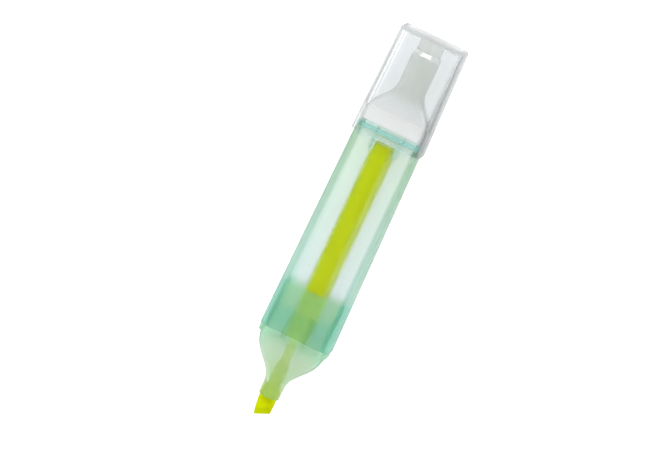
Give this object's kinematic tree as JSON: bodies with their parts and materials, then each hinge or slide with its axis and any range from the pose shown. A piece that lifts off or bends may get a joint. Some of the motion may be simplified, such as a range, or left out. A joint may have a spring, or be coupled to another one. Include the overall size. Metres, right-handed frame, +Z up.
{
  "type": "highlighter pen",
  "caption": "Flat-bodied translucent highlighter with a slanted felt chisel nib, a see-through barrel showing its ink reservoir, and a clear cap pushed onto the rear end.",
  "frame": {"origin": "under the middle of the overall length and width, on the plane that the pen lies on", "axes": "+X along the pen, from the nib to the cap's closed end; +Y across the broad face; +Z up through the thickness, out of the broad face"},
  "size_m": [0.1224, 0.022, 0.012],
  "materials": {
    "barrel_plastic": "frosted translucent, pale green",
    "tinted_plastic": "frosted translucent, teal green",
    "nib_felt": "ink-soaked bonded felt, fluorescent yellow",
    "reservoir_fibre": "ink-soaked fibre, fluorescent yellow",
    "reservoir_film": "clear wrapping film",
    "cap_plastic": "clear, polished",
    "inner_cap_plastic": "milky translucent"
  },
  "bodies": {
    "pen": {"barrel": "barrel_plastic", "end_plug": "tinted_plastic", "nib_section": "tinted_plastic", "nib": "nib_felt", "reservoir_core": "reservoir_fibre", "reservoir_film": "reservoir_film"},
    "cap": {"cap_shell": "cap_plastic", "inner_cap": "inner_cap_plastic"}
  },
  "joints": [
    {"name": "cap_pull", "type": "slide", "parent": "pen", "child": "cap", "axis": [1, 0, 0], "range_m": [0, 0.02]}
  ]
}
